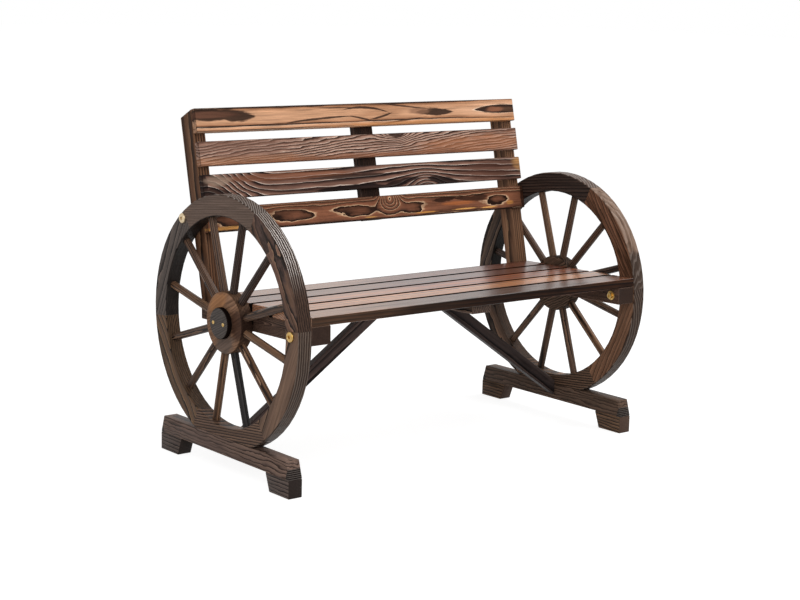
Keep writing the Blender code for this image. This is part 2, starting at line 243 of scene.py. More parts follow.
# %% [markdown]
# A board is known by its middle, its directions along and across, and its half sizes.
# Grain could lie on a UV map, but that breaks at every edge. Here a Mapping node turns
# Object coordinates into places along, across and through the board, so the pattern runs
# on over its edges and into its end grain, as in the real timber.

# %% Boards
Board = namedtuple("Board", "centre along across half")


def middle(node):
    """Return the middle of a CAD node's box."""
    low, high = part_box(node)
    return (low + high) / 2


def places_on(finish, board):
    """Return the places on a board as one vector, and as three values along, across and deep."""
    deep = board.along.cross(board.across)
    turn = Matrix((board.along, board.across, deep)).transposed().to_euler()
    place = finish.node("TexCoord", give="Object")
    local = finish.node("Mapping", {"vector_type": "TEXTURE"}, {
        "Vector": place, "Location": board.centre, "Rotation": turn})
    return local, *finish.node("SeparateXYZ", {}, {0: local}, ("X", "Y", "Z"))


print("the left hub's middle:", [round(v, 4) for v in middle("left_wheel_hub")])

# %% [markdown]
# Softwood shows its growth rings. In the solid, each ring is a tube about the pith, the
# heart of the trunk, so a board is a straight cut through a stack of tubes: far from the
# pith it shows long lines, close to it wide flames. A Wave texture has such rings too,
# but working out the distance from the pith leaves room for knots, eyes and islands. They
# are swellings in that distance, each given by its place along and across the board, by
# the length and width at which it has fallen to a half, and a knot by its height in rings.

# %% Growth rings
Grain = namedtuple("Grain", "pith ring seed wave lines phase slant knots eyes islands burns washes char",
                   defaults=(0.4, 0.0, (), (), (), (), (), 0.0))
HALVED = math.log(2)
SWAY_RINGS, RIPPLE_RINGS = 2.6, 0.6
RIPPLE_LENGTH, RIPPLE_WIDTH = 0.16, 0.3


def rounded(along, across, u, v, length, width):
    """A swelling about (u, v) that falls to a half at the given length and width."""
    return ((((along - u) / length) ** 2 + ((across - v) / width) ** 2) * -HALVED).maths("EXPONENT")


def pointed(along, across, u, v, length, width, tilt=0.0, bend=0.0):
    """A swelling that comes to a point along the grain, or along a tilted or bent stroke."""
    ahead = along - u
    aside = across - v - ahead * tilt - ahead * ahead * bend
    return (((aside / width).maths("ABSOLUTE") + (ahead / length) ** 2) * -HALVED).maths("EXPONENT")


def growth_rings(finish, board, grain, local, along, across, deep):
    """Return the place within a ring, from 0 to 1, and the ripple that frays its lines."""
    rings, wave_long, wave_wide = grain.wave
    sway = finish.cloud(local, (wave_long, wave_wide, wave_wide), grain.seed) - 0.5
    ripple_wide = wave_wide * RIPPLE_WIDTH
    ripple = finish.cloud(local, (wave_long * RIPPLE_LENGTH, ripple_wide, ripple_wide), grain.seed + 1) - 0.5
    face = board.half[2] if board.half else 0.0
    heart_side, heart_depth = grain.pith
    side, below = across - heart_side - along * grain.slant, deep + (heart_depth - face)
    field = ((side * side + below * below) ** 0.5 - heart_depth) / grain.ring + grain.phase
    field = field + sway * (SWAY_RINGS * rings) + ripple * (RIPPLE_RINGS * rings)
    for *spot, height in grain.knots:
        field = field + rounded(along, across, *spot) * height
    for spot in grain.eyes:
        field = field - pointed(along, across, *spot) * (2 * grain.phase)
    for spot in grain.islands:
        field = field - rounded(along, across, *spot) * (2 * grain.phase)
    return field.maths("FRACT"), ripple


print("noise moves the lines over", SWAY_RINGS, "rings in sways and", RIPPLE_RINGS, "in ripples")

# %% [markdown]
# Torching and brushing leave each ring as a dark line, and a colour ramp over the ring gives
# it, with a pale line beside it that is a painted highlight on the ring's raised edge. Noise
# stretched along the grain gives drifting tones, scorched patches and fine fibres. Where the
# torch stayed longer it left burns: pointed strokes, each with its place, length and width, a
# tilt and a bend where it needs them, and a share. Washes lie over the burns as soft patches,
# each with a tone and a share. Most are stains, one is a painted reflection on the seat slats
# and one is a painted shadow on a hub.

# %% Torched and brushed colour
FIBRE_SIZE, DRIFT_SIZE = (0.07, 0.0016, 0.0016), (0.22, 0.022, 0.022)
SCORCH_SIZE, STREAK_SIZE = (0.12, 0.014, 0.018), (0.11, 0.0045, 0.0045)
FINE_DETAIL = 3.0
DRIFT_LIMITS, DRIFT_SHARE = (0.48, 0.70), 0.5
SCORCH_LIMITS, CHAR_REACH = (0.72, 0.96), 0.36
BURN_LIMITS, BURN_FRAY, BURN_SHARE = (0.44, 0.58), 0.3, 0.95
WASH_LIMITS, WASH_FRAY = (0.25, 0.75), 0.5
FIBRE_SHADE, STREAK_SHADE, LEAST_SHADE = 0.7, 1.3, 0.05


def torched_colour(finish, tones, grain, local, along, across, ring, ripple):
    """Return a board's colour, its fibre, and how far it is burnt.

    tones run from the pale line beside a ring, a painted highlight, over light, middle and brown, to the
    dark line.
    """
    # The pale tone is a painted highlight on the raised edge of each ring.
    pale, light, mid, brown, dark = (card(code) for code in tones)
    pale_share, dark_share = grain.lines
    colour = finish.node("ValToRGB", {"stops": [
        (0.0, pale), (pale_share, light), (0.5, mid), (1 - dark_share, brown),
        (1 - dark_share * 0.5, dark), (1.0, dark)]}, {0: ring})
    fibre = finish.cloud(local, FIBRE_SIZE, grain.seed + 2, FINE_DETAIL)
    drift = finish.cloud(local, DRIFT_SIZE, grain.seed + 3)
    colour = finish.mix(finish.step(drift, *DRIFT_LIMITS) * DRIFT_SHARE, colour, brown)
    scorch = finish.cloud(local, SCORCH_SIZE, grain.seed + 4, FINE_DETAIL)
    burnt = finish.step(scorch, *(limit - CHAR_REACH * grain.char for limit in SCORCH_LIMITS))
    for *stroke, share in grain.burns:
        patch = pointed(along, across, *stroke) + ripple * BURN_FRAY
        burnt = burnt.maths("MAXIMUM", finish.step(patch, *BURN_LIMITS) * share)
    colour = finish.mix(burnt * BURN_SHARE, colour, dark)
    # Some washes are painted light: a pale reflection on the seat slats and a shadow on a hub.
    for *spot, tone, share in grain.washes:
        wash_mask = rounded(along, across, *spot) + (drift - 0.5) * WASH_FRAY + ripple * WASH_FRAY
        colour = finish.mix(finish.step(wash_mask, *WASH_LIMITS) * share, colour, card(tone))
    streak = finish.cloud(local, STREAK_SIZE, grain.seed + 5)
    shade = fibre * FIBRE_SHADE + streak * STREAK_SHADE + LEAST_SHADE
    return finish.mix(1.0, colour, shade, "MULTIPLY"), fibre, burnt


print("fibres are", FIBRE_SIZE[1] * 1000, "mm wide, streaks", STREAK_SIZE[1] * 1000, "mm")

# %% [markdown]
# One shader puts this together. The brushed rings and fibres stand up as relief, burnt
# wood is rougher, and a coat can give a satin gloss. A skin is a function that treats the
# edges or sides of a board after its grain. It may leave some of them as a dark Diffuse
# shader, for bare charcoal and for painted shade, because the Principled one would still
# mirror the studio there.

# %% Wood
Surface = namedtuple("Surface", "finish along across deep ring fibre burnt")
CHARCOAL_AND_SHADE = "130c0a"
RING_SHARPNESS, RING_HEIGHT, FIBRE_HEIGHT, BURNT_DEPTH = 3.0, 0.6, 0.5, 0.2
RELIEF_STRENGTH, RELIEF_DISTANCE = 0.8, 0.0011
FIBRE_ROUGH, BURNT_ROUGH, RING_SMOOTH, FIBRE_MEAN = 0.2, 0.18, 0.08, 0.06
COAT_ROUGH = 0.2


def wood(name, board, tones, grain, skin=None, gloss=0.05, rough=0.42, relief=1.0, coat=0.0):
    """Return a torched and brushed softwood for one board."""
    finish = Finish(bpy.data.materials.new(name))
    local, along, across, deep = places_on(finish, board)
    ring, ripple = growth_rings(finish, board, grain, local, along, across, deep)
    colour, fibre, burnt = torched_colour(finish, tones, grain, local, along, across, ring, ripple)
    shine, matt = coat, 0.0
    if skin:
        colour, shine, matt = skin(Surface(finish, along, across, deep, ring, fibre, burnt), colour, coat)

    height = ring ** RING_SHARPNESS * RING_HEIGHT + fibre * FIBRE_HEIGHT - burnt * BURNT_DEPTH
    bump = finish.node("Bump", {}, {
        "Strength": RELIEF_STRENGTH * relief, "Distance": RELIEF_DISTANCE, "Height": height})
    roughness = fibre * FIBRE_ROUGH + burnt * BURNT_ROUGH - ring * RING_SMOOTH + (rough - FIBRE_MEAN)
    satin = finish.node("BsdfPrincipled", {}, {
        "Base Color": colour, "Roughness": roughness, "Normal": bump, "Specular IOR Level": gloss,
        "Coat Weight": shine, "Coat Roughness": COAT_ROUGH})
    # This charcoal Diffuse shader serves for bare charcoal and for painted shade alike.
    charcoal_and_shade = finish.node("BsdfDiffuse", {}, {"Color": card(CHARCOAL_AND_SHADE)})
    shader = finish.node("MixShader", {}, {0: matt, 1: satin, 2: charcoal_and_shade})
    finish.node("OutputMaterial", {}, {"Surface": shader})
    return finish.owner


def paint(node, material):
    """Give a CAD node its finish."""
    slots = nodes[node].data.materials
    for index in range(len(slots)):
        slots[index] = material


print("relief of the rings:", RELIEF_DISTANCE * 1000, "mm")

# %% [markdown]
# Edges wear and scorch differently from faces. A place lies on an edge where two of its
# three distances to the board's faces are small, so the middle one of the three is what
# counts. No edge has to be found in the mesh, and the fibre frays the tone. Sawn ends are
# torched darker, and on the sills they are also darkened as painted shade; there they
# slope, lean, and show the rings as fine ridges.

# %% Board edges
EDGE_WIDTH, EDGE_FULL = 0.0026, 0.3
EDGE_FRAY = (0.30, 0.55)
SAWN_DEPTH, SAWN_SHARE = (0.0006, 0.0020), 0.95
RIDGE_LIMITS, RIDGE_FRAY, RIDGE_SHARE, RIDGE_TONE = (0.60, 0.80), 0.4, 0.35, "8f8680"


def board_edges(half, tone, share, ends=None, slope=0.0, lean=0.0, ridges=0.0):
    """A skin that tones a board's edges and darkens its sawn ends, which may slope or lean."""
    def skin(surface, colour, coat):
        step, mix = surface.finish.step, surface.finish.mix
        parts = (surface.along + surface.deep * lean, surface.across, surface.deep)
        end, side, face = (size - part.maths("ABSOLUTE") for size, part in zip(half, parts))
        end = end - surface.deep * slope
        nearer, farther = end.maths("MINIMUM", side), end.maths("MAXIMUM", side)
        gap = nearer.maths("MAXIMUM", farther.maths("MINIMUM", face))
        edge = (1 - step(gap, EDGE_WIDTH * EDGE_FULL, EDGE_WIDTH)) * step(surface.fibre, *EDGE_FRAY)
        colour = mix(edge * share, colour, card(tone))
        if ends:
            sawn = 1 - step(end, *SAWN_DEPTH)
            # On the sills the end tone also stands for painted shade.
            colour = mix(sawn * SAWN_SHARE, colour, card(ends))
            if ridges:
                stack = (surface.deep / ridges + surface.fibre * RIDGE_FRAY).maths("FRACT")
                colour = mix(sawn * step(stack, *RIDGE_LIMITS) * RIDGE_SHARE, colour, card(RIDGE_TONE))
        return colour, coat, 0.0
    return skin


print("edges are toned", EDGE_WIDTH * 1000, "mm wide")

# %% [markdown]
# The four back slats are the bench's show side, so each is drawn on its own. The top one
# is honey brown: two long swellings draw lines along its edges, and single strokes, bent
# and tilted, stand for the flames that a ring field alone would spread too evenly.

# %% Top back slat
ALONG_SEAT = Vector((1, 0, 0))
BACK_LEAN = math.radians(12.8)
UP_BACK = Vector((0, math.sin(BACK_LEAN), math.cos(BACK_LEAN)))
BACK_SLAT_HALF = (0.48, 0.02775, 0.0075)


def paint_back_slat(number, tones, grain):
    """Paint a back slat, counted from the top, with edges in its darkest tone."""
    node = f"back_slat_{number}"
    board = Board(middle(node), ALONG_SEAT, UP_BACK, BACK_SLAT_HALF)
    edges = board_edges(board.half, tones[-1], share=0.7)
    paint(node, wood(node, board, tones, grain, edges, rough=0.46, relief=1.3))
    print(node, "knots:", len(grain.knots), "burns:", len(grain.burns), "washes:", len(grain.washes))


paint_back_slat(1, ("e6c9af", "c69a7b", "b98c6c", "9a6c4e", "2c1e18"), Grain(
    pith=(0.0, 5.0), ring=0.005, seed=1, phase=0.42, wave=(0.16, 0.16, 0.030), lines=(0.08, 0.30),
    knots=((0.0, -0.036, 6.0, 0.0135, 2.4), (0.0, 0.041, 6.0, 0.012, 1.6)),
    eyes=((0.440, 0.003, 0.092, 0.0135),),
    burns=((-0.440, 0.012, 0.120, 0.0145, 1.0), (-0.370, 0.006, 0.050, 0.0120, 1.0),
           (0.005, 0.0172, 0.078, 0.0028, -0.08, -1.9, 0.95), (-0.090, 0.0190, 0.060, 0.0017, -0.01, 0.8),
           (0.048, -0.0056, 0.037, 0.0028, 0.21, 1.4, 0.95),
           (-0.015, -0.0075, 0.040, 0.0025, -0.20, -1.2, 0.95),
           (-0.140, -0.0055, 0.120, 0.0024, 0.056, -0.2, 0.95),
           (0.130, 0.0165, 0.100, 0.0019, -0.11, 0.9), (0.215, 0.0012, 0.062, 0.0090, -0.02, 1.0),
           (0.440, 0.003, 0.090, 0.0115, 0.9), (-0.180, 0.0250, 0.060, 0.0020, -0.03, 0.9),
           (-0.330, -0.0150, 0.160, 0.0016, 0.02, 0.9), (0.095, -0.0190, 0.100, 0.0020, 0.10, 0.9)),
    washes=((-0.450, 0.012, 0.075, 0.0075, "5f3f31", 0.75), (0.415, 0.003, 0.026, 0.006, "8a5a42", 0.75),
            (0.165, 0.004, 0.034, 0.007, "7a5844", 0.8), (0.25, -0.024, 0.30, 0.007, "b47a4c", 0.7))))

# %% [markdown]
# The second slat was sawn far from the pith, so it shows long close lines that slant over
# the board. Two swellings, one inside the other, bend them round a knot at its top edge.

# %% Second back slat
paint_back_slat(2, ("d3baaa", "a48474", "907061", "6f5042", "2e1d17"), Grain(
    pith=(-0.90, 0.05), ring=0.0074, seed=12, phase=0.2, slant=0.095, wave=(1.2, 0.16, 0.030),
    lines=(0.18, 0.42),
    knots=((0.086, 0.034, 0.044, 0.028, 3.0), (0.088, 0.034, 0.028, 0.022, 1.6),
           (-0.10, -0.034, 6.0, 0.013, -0.9)),
    burns=((0.088, 0.027, 0.028, 0.012, 0.9),),
    washes=((-0.40, -0.020, 0.20, 0.012, "a07052", 0.6), (0.34, -0.006, 0.17, 0.020, "9b6647", 0.6),
            (-0.36, 0.008, 0.16, 0.020, "76574a", 0.5), (-0.05, -0.026, 0.40, 0.008, "80523a", 0.7))))

# %% [markdown]
# The third slat is the darkest. Its rings are wide, with pale lines that wave over near
# black burns. Swellings bend them at the left end and round a knot at the lower edge, and
# the right end kept a tan corner.

# %% Third back slat
paint_back_slat(3, ("dbc9bc", "805f50", "6c4f44", "4e372f", "170f0e"), Grain(
    pith=(-0.30, 0.02), ring=0.0140, seed=23, phase=0.35, wave=(0.50, 0.22, 0.034), lines=(0.15, 0.36),
    knots=((-0.47, 0.0, 0.078, 0.20, -6.5), (0.165, -0.030, 0.040, 0.023, -2.8),
           (0.165, -0.030, 0.120, 0.034, -1.3), (0.10, 0.02, 0.20, 0.03, -0.6)),
    burns=((-0.06, -0.024, 0.120, 0.008, 1.0), (-0.02, -0.027, 0.050, 0.014, 1.0),
           (-0.05, 0.004, 0.160, 0.005, 0.8), (0.080, -0.018, 0.070, 0.008, 0.16, 0.95),
           (0.225, -0.022, 0.055, 0.012, -0.2, 0.95), (-0.455, -0.016, 0.050, 0.012, 0.85),
           (-0.478, 0.006, 0.012, 0.030, 0.9)),
    washes=((0.476, 0.010, 0.022, 0.018, "a87c4e", 0.85), (0.38, 0.0, 0.10, 0.02, "4b2f25", 0.65),
            (-0.24, 0.014, 0.16, 0.008, "80513a", 0.6), (-0.440, 0.012, 0.030, 0.012, "8d7868", 0.7))))

# %% [markdown]
# The lowest slat is russet, with contour lines like a map. Its face lies almost within one
# ring, so each island dips into the next one and gets a dark ground with a pale shore.
# Golden washes along its lower edge are places that the torch left out.

# %% Lowest back slat
paint_back_slat(4, ("caa887", "7d503a", "6b4432", "4f3224", "22120b"), Grain(
    pith=(0.0, 5.0), ring=0.005, seed=34, phase=0.42, wave=(0.36, 0.06, 0.022), lines=(0.15, 0.24),
    knots=((0.0, 0.034, 6.0, 0.013, 2.6), (0.0, -0.037, 6.0, 0.010, 1.6),
           (0.042, 0.031, 0.024, 0.026, -6.4)),
    islands=((-0.42, -0.002, 0.055, 0.016), (-0.252, 0.000, 0.064, 0.0180),
             (-0.063, -0.001, 0.056, 0.0180), (0.112, -0.004, 0.040, 0.0160),
             (0.392, 0.001, 0.036, 0.0180)),
    burns=((0.215, 0.008, 0.040, 0.007, 0.06, 0.9), (0.30, 0.004, 0.060, 0.006, -0.08, 0.85),
           (0.33, 0.008, 0.030, 0.006, 0.8), (0.478, 0.0, 0.010, 0.06, 0.9),
           (0.0, -0.0275, 0.60, 0.003, 0.8)),
    washes=((-0.02, -0.021, 0.020, 0.0016, "b98a4e", 0.7), (0.15, -0.020, 0.030, 0.0016, "c98d48", 0.8),
            (0.28, -0.019, 0.035, 0.0018, "dba35c", 0.9), (0.36, -0.020, 0.026, 0.0020, "dba35c", 0.9),
            (0.43, -0.012, 0.012, 0.005, "b98040", 0.6), (0.26, -0.004, 0.050, 0.005, "9a5a33", 0.75),
            (-0.42, -0.020, 0.08, 0.004, "c08b4c", 0.85))))

# %% [markdown]
# The seat slats carry the same wood under a smoother satin coat. Seen at a low angle they
# mirror the white studio and, on the right, the dark post and wheel. Their long edges at the
# gaps are left as charcoal and painted shade, so the gaps between them read as fine dark
# lines, and the front slat keeps a thin charred front. A pale wash on the left half is a
# painted reflection of the white studio, and another wash makes the front darker.

# %% Seat slats
SEAT_DIP = math.radians(1.2)
BACK_ALONG_SEAT = Vector((0, math.cos(SEAT_DIP), -math.sin(SEAT_DIP)))
SEAT_SLAT_HALF = (0.48, 0.035, 0.010)
SEAT_TONES = [
    ("a87b5e", "83553a", "6d422c", "4d2c1d", "150e0c"),
    ("e0ab82", "c4875c", "b07045", "8c532c", "1f1009"),
    ("c08563", "a05e3d", "8b4d2f", "67351e", "190e09"),
    ("8c5b40", "693822", "582b18", "3e1d10", "120a07"),
    ("96654d", "76422e", "623221", "482315", "130a08"),
]
# A pale wash on the left of each seat slat is a painted reflection of the white studio.
PAINTED_SHEEN_LEFT, SHEEN_TONE = (-0.34, 0.0, 0.26, 0.08), "cba486"
SHEEN_SHARES = (0.28, 0.12, 0.25, 0.12, 0.26)
DARKER_FRONT = (0.03, 0.0, 0.32, 0.08, "2c1e18", 0.65)
# The edges at the gaps are painted shade, so that the gaps between the slats read as dark lines.
PAINTED_GAP_SHADE, TORCHED_FRONT = (0.0055, 1.0), (0.0012, 0.82)
TORCH_FRAY, TORCH_FULL = 0.5, 0.6


def charred_edges_and_gap_shade(half, front, back):
    """A skin that leaves a board's long edges as charcoal, each with its own width and share; the edges at
    the gaps are painted shade.
    """
    def skin(surface, colour, coat):
        edge = 0.0
        for (width, share), reach in ((front, surface.across * -1.0), (back, surface.across)):
            ragged = half[1] - reach - (surface.fibre - 0.5) * (width * TORCH_FRAY)
            char_and_gap_shade = (1 - surface.finish.step(ragged, width * TORCH_FULL, width)) * share
            edge = char_and_gap_shade.maths("MAXIMUM", edge)
        return colour, (1 - edge) * coat, edge
    return skin


for number, tones in enumerate(SEAT_TONES, 1):
    node = f"seat_slat_{number}"
    in_front = number == 1
    board = Board(middle(node), ALONG_SEAT, BACK_ALONG_SEAT, SEAT_SLAT_HALF)
    washes = [(*PAINTED_SHEEN_LEFT, SHEEN_TONE, SHEEN_SHARES[number - 1])]
    if in_front:
        washes.append(DARKER_FRONT)
    grain = Grain(pith=(0.09 - 0.03 * number, 0.07), ring=0.0050, seed=40 + 7 * number, slant=0.01,
                  wave=(0.5, 0.40, 0.034), lines=(0.12, 0.36), washes=washes, char=0.5 if in_front else 0.1)
    edges = charred_edges_and_gap_shade(board.half, TORCHED_FRONT if in_front else PAINTED_GAP_SHADE, PAINTED_GAP_SHADE)
    paint(node, wood(node, board, tones, grain, edges, gloss=0.25, rough=0.38, relief=0.6, coat=0.45))
print("seat slats:", len(SEAT_TONES))

# %% [markdown]
# The rails under the slat ends are plain sawn stock, torched darker than the slats, with
# their edges rubbed paler. They dip with the seat, so its directions serve for them too.

# %% Seat rails
SIDES = {"left": -1, "right": 1}
UP_FROM_SEAT = Vector((0, math.sin(SEAT_DIP), math.cos(SEAT_DIP)))
RAIL_HALF = (0.21, 0.020, 0.025)
RAIL_TONES = ("977a68", "685144", "574238", "43322b", "140d0b")
RAIL_END = "2b1f1a"
RUBBED = 0.3

for number, side in enumerate(SIDES):
    node = f"{side}_seat_rail"
    board = Board(middle(node), BACK_ALONG_SEAT, UP_FROM_SEAT, RAIL_HALF)
    grain = Grain(pith=(0.004, 0.045), ring=0.0022, seed=90 + 5 * number, wave=(0.7, 0.12, 0.030),
                  lines=(0.12, 0.34), knots=((-0.10, -0.004, 0.05, 0.014, 3.0),), char=0.3)
    edges = board_edges(board.half, RAIL_TONES[0], RUBBED, ends=RAIL_END)
    paint(node, wood(node, board, RAIL_TONES, grain, edges))
print("seat rails:", len(SIDES))

# %% [markdown]
# The posts lean back with the slats. The box of a leaning board is wider than the board,
# so its middle and half sizes are worked out from its foot and its length instead. The
# left half mirrors the right one, so each place is written down once.

# %% Back posts
POST_HALF = Vector((0.0160, 0.0225, 0.2176))
POST_FOOT = Vector((0.4640, 0.0928, 0.3623))
THROUGH_BACK = Vector((0, math.cos(BACK_LEAN), -math.sin(BACK_LEAN)))
POST_CENTRE = POST_FOOT + POST_HALF.z * UP_BACK + POST_HALF.y * THROUGH_BACK
POST_TONES = {"left": ("86644b", "70503b", "614331", "4a3224", "22150e"),
              "right": ("8e6d52", "7f5d46", "71513c", "5d4231", "38261a")}


def on_side(place, sign):
    """Mirror a place of the right half onto either side."""
    return Vector((sign * place.x, place.y, place.z))


for number, (side, sign) in enumerate(SIDES.items()):
    node, tones = f"{side}_back_post", POST_TONES[side]
    half = (POST_HALF.z, POST_HALF.x, POST_HALF.y)
    board = Board(on_side(POST_CENTRE, sign), UP_BACK, ALONG_SEAT, half)
    grain = Grain(pith=(0.30, 0.10), ring=0.0065, seed=110 + 5 * number, slant=0.01,
                  wave=(0.5, 0.22, 0.030), lines=(0.14, 0.34), char=0.1)
    paint(node, wood(node, board, tones, grain, board_edges(half, tones[0], RUBBED)))
print("back posts lean", round(math.degrees(BACK_LEAN), 1), "degrees")

# %% [markdown]
# The braces rise from the sills to the middle of the seat. Their grain runs along that
# slope, from toe to head. The left one is painted lighter and the right one darker and
# redder, as painted light and shade on one wood.

# %% Braces
BRACE_TOE, BRACE_HEAD = Vector((0.480, -0.012, 0.0523)), Vector((0.0278, -0.012, 0.3580))
BRACE_HALF, BRACE_LIFT = (0.28, 0.010, 0.016), Vector((0, 0, 0.019))
TO_THE_REAR = Vector((0, 1, 0))
# The left tones are painted lighter and the right ones darker, as painted light and shade.
BRACE_TONES_LIT_AND_SHADED = {"left": ("77655b", "574945", "4c3f3b", "3c312f", "171110"),
               "right": ("5a4943", "3e3431", "362d2b", "2a2424", "0d0908")}

for number, (side, sign) in enumerate(SIDES.items()):
    node = f"{side}_brace"
    rise = on_side(BRACE_HEAD - BRACE_TOE, sign).normalized()
    heart = on_side((BRACE_TOE + BRACE_HEAD) / 2 + BRACE_LIFT, sign)
    board = Board(heart, rise, TO_THE_REAR, BRACE_HALF)
    grain = Grain(pith=(0.05, 0.03), ring=0.0045, seed=130 + 5 * number, wave=(0.5, 0.30, 0.030),
                  lines=(0.12, 0.35), char=0.4)
    paint(node, wood(node, board, BRACE_TONES_LIT_AND_SHADED[side], grain))
print("braces rise", round(math.degrees(math.asin(rise.z)), 1), "degrees")

# %% [markdown]
# A batten under the seat and one behind the back tie the slats together in the middle.
# They are the same stock, and the one behind the back is painted nearly black, as painted
# shade between the slats.

# %% Centre battens
BATTENS = {
    "seat": (BACK_ALONG_SEAT, (0.175, 0.0275, 0.0095), 150,
             ("816a5a", "5c4940", "4d3e36", "3a2f2a", "150f0d")),
    # The back batten's near black tones are painted shade between the slats.
    "back": (UP_BACK, (0.1395, 0.0275, 0.0095), 160,
             ("553c2e", "38261e", "2b1c16", "1f140f", "0b0605")),
}

for place, (along, half, seed, tones) in BATTENS.items():
    node = f"{place}_centre_batten"
    board = Board(middle(node), along, ALONG_SEAT, half)
    grain = Grain(pith=(0.05, 0.03), ring=0.0050, seed=seed, wave=(0.6, 0.20, 0.030), lines=(0.12, 0.30),
                  char=0.3)
    paint(node, wood(node, board, tones, grain, board_edges(half, tones[0], RUBBED)))
print("centre battens:", len(BATTENS))

# %% [markdown]
# A wheel rim is sawn from six short boards, the felloes, so its grain runs straight along
# each chord and breaks at every joint. Bending one pattern round the rim would be shorter
# to write and wrong. The inside of the rim is darkened partly as the torch's soot and partly
# as painted shade, most at the top, where it faces down. On the tread, its outer side, the
# brushed rings are drawn as fine ridges: their crests carry a painted highlight as far as a
# given place along the felloe, and the grooves between them carry painted shade. Further
# along, one tread is darkened as painted shade.

# %% Skin of the rim
RIM_INNER, RIM_OUTER = 0.233, 0.280
RIM_MIDDLE = (RIM_INNER + RIM_OUTER) / 2
RIM_SOOT_AND_SHADE, TREAD_SHADE, PAINTED_RIDGE_HIGHLIGHT, GROOVE_SHADE = "0d0b0a", "352b26", "b3a79e", "0b0807"
BARE_SHARE, TREAD_SHADE_SHARE, TREAD_SHADE_FRAY, TREAD_SHADE_EDGE = 0.8, 0.85, 0.03, 0.010
GROOVE_SHADE_DEPTH = 1.3


def rim_skin(felloe):
    """A skin that darkens a felloe's inside with soot and painted shade, and colours its tread with painted
    highlights on the ridges and painted shade in the grooves and further along.
    """
    def skin(surface, colour, coat):
        step, mix = surface.finish.step, surface.finish.mix
        radius = (surface.along ** 2 + (surface.across + RIM_MIDDLE) ** 2) ** 0.5
        inside = 1 - step(radius, RIM_INNER + 0.0005, RIM_INNER + 0.0030)
        tread = step(radius, RIM_OUTER - 0.0030, RIM_OUTER - 0.0008)
        # The inside is darkened partly as soot and partly as painted shade.
        colour = mix(inside * felloe.soot, colour, card(RIM_SOOT_AND_SHADE))
        bare = tread * (1 - surface.burnt * BARE_SHARE)
        colour = mix(bare * felloe.cover, colour, card(felloe.tread))
        # Further along the tread, where it turns downward, it is darkened as painted shade.
        frayed = surface.along + (surface.fibre - 0.5) * TREAD_SHADE_FRAY
        tread_shade = step(frayed, felloe.past - TREAD_SHADE_EDGE, felloe.past + TREAD_SHADE_EDGE)
        colour = mix(tread * tread_shade * TREAD_SHADE_SHARE, colour, card(TREAD_SHADE))
        # The pale crests of the tread ridges are painted highlights, up to a given place along each felloe.
        crest_highlight = step(surface.ring, 0.02, 0.12) * (1 - step(surface.ring, 0.25, 0.45))
        beyond_highlight = step(surface.along, felloe.lit - 0.06, felloe.lit + 0.03)
        crest_highlight = tread * crest_highlight * (1 - beyond_highlight) * felloe.ridges
        # The dark grooves between the ridges are painted shade over the rings' own dark lines.
        groove_shade = tread * step(surface.ring, 0.62, 0.9) * min(1.0, GROOVE_SHADE_DEPTH * felloe.ridges)
        colour = mix(groove_shade, mix(crest_highlight, colour, card(PAINTED_RIDGE_HIGHLIGHT)), card(GROOVE_SHADE))
        return colour, crest_highlight, 0.0
    return skin


print("rim width:", round((RIM_OUTER - RIM_INNER) * 1000), "mm")

# %% [markdown]
# Each felloe comes from another board, and their tones and rings differ, which is what
# makes the joints show. One row describes one felloe, counted from the top to the front.

# %% Felloes
Felloe = namedtuple("Felloe", "tones pith ring slant wave lines char soot ridges tread cover lit past",
                    defaults=("2a201b", 0.7, 1.0, 1.0))
